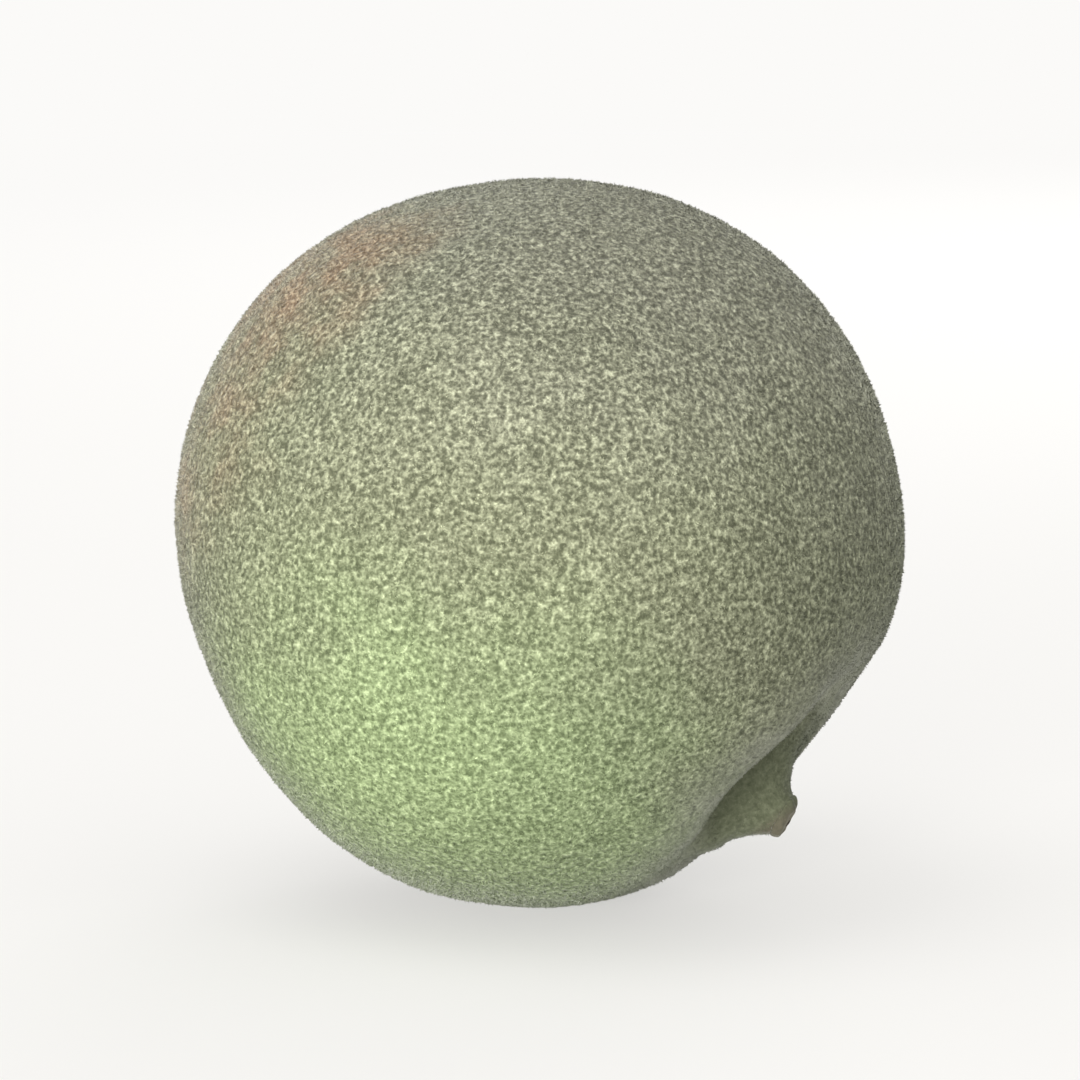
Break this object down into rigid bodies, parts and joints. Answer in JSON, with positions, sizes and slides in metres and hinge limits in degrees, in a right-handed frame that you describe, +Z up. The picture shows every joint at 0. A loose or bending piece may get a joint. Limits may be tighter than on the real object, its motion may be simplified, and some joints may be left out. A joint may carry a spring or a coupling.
{
  "type": "baobab fruit pod",
  "caption": "Round, velvety green baobab fruit pod lying on its side, with the stub of its stalk flaring out of a shallow hollow.",
  "frame": {"origin": "middle of the small flat spot on the underside that the pod rests on", "axes": "+Z is up, away from the surface the pod rests on; the stem end points down and towards +X, a little towards -Y"},
  "size_m": [0.1001, 0.1003, 0.1],
  "materials": {
    "velvet_skin": "matt velvet of short hairs over a woody shell",
    "stalk": "matt velvety stalk with a bare broken end"
  },
  "bodies": {
    "root": {"pod": "velvet_skin", "stem": "stalk"}
  },
  "joints": []
}
